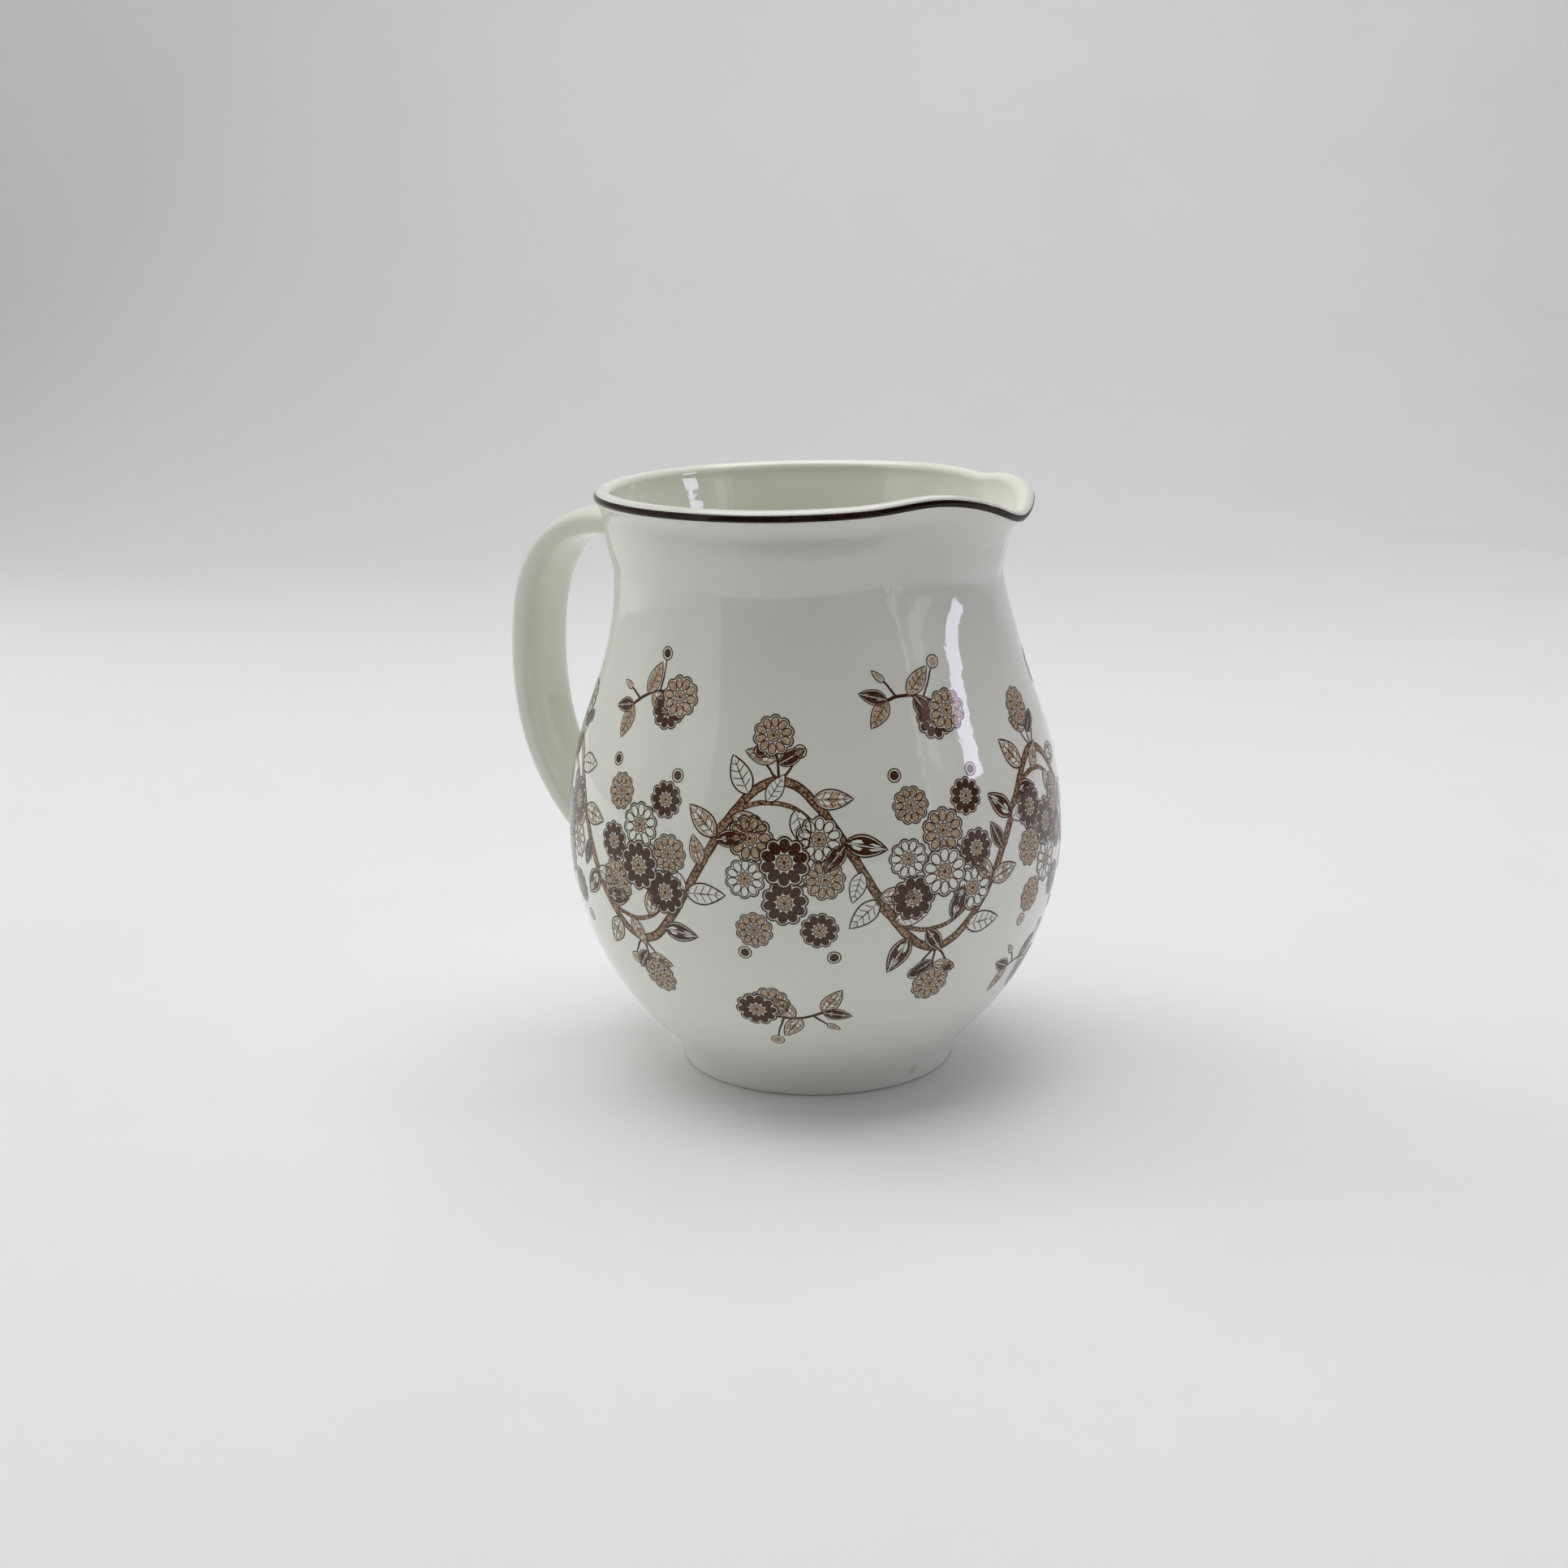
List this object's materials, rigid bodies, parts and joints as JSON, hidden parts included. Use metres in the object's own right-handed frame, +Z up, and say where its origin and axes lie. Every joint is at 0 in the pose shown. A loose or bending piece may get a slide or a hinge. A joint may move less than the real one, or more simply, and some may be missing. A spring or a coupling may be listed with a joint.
{
  "type": "ceramic jug",
  "caption": "Round-bellied glazed ceramic pouring jug with a pinched lip, a strap handle and a brown rim line.",
  "frame": {"origin": "centre of the foot ring's standing face, on the table", "axes": "+Z up along the jug's axis, +X towards the pouring lip, -X towards the handle"},
  "size_m": [0.1612, 0.1356, 0.1619],
  "materials": {
    "ivory_glaze": "glossy, transparent glaze over an off-white body",
    "brown_enamel": "glossy, fired sepia enamel"
  },
  "bodies": {
    "root": {"body": "ivory_glaze", "handle": "ivory_glaze", "upper_joint": "ivory_glaze", "lower_joint": "ivory_glaze", "rim_line": "brown_enamel"}
  },
  "joints": []
}
